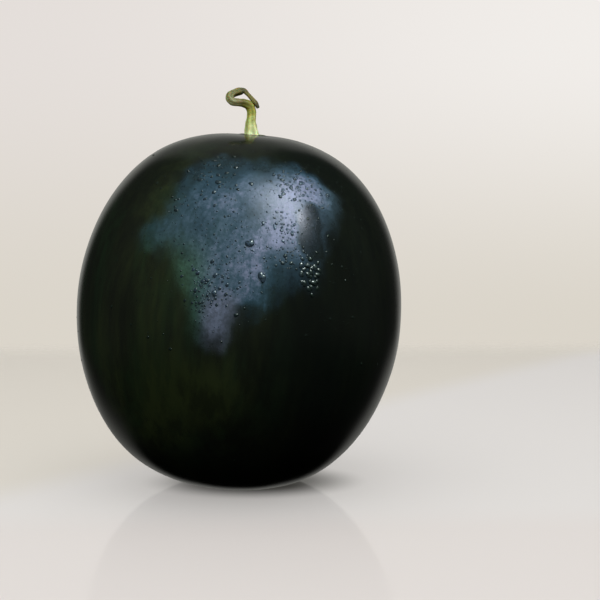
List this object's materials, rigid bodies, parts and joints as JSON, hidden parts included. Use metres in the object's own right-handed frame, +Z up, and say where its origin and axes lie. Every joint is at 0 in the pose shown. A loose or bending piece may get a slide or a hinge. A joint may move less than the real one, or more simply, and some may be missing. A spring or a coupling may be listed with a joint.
{
  "type": "watermelon",
  "caption": "Whole upright oval watermelon with a smooth near-black green rind and a short curled stalk, standing on the small flat at its blossom end.",
  "frame": {"origin": "on the surface that the fruit stands on, under the middle of the fruit", "axes": "+Z up through the fruit, stalk end up; +Y away from the viewer of the picture; +X to the viewer's right, the side that the fruit leans to by 4.3 degrees"},
  "size_m": [0.2504, 0.247, 0.3062],
  "materials": {
    "rind": null,
    "stalk": "matt ribbed plant stalk, pale yellow-green at its foot, olive along the curl and dry brown at its tip"
  },
  "bodies": {
    "root": {"fruit": "rind", "stalk": "stalk"}
  },
  "joints": []
}
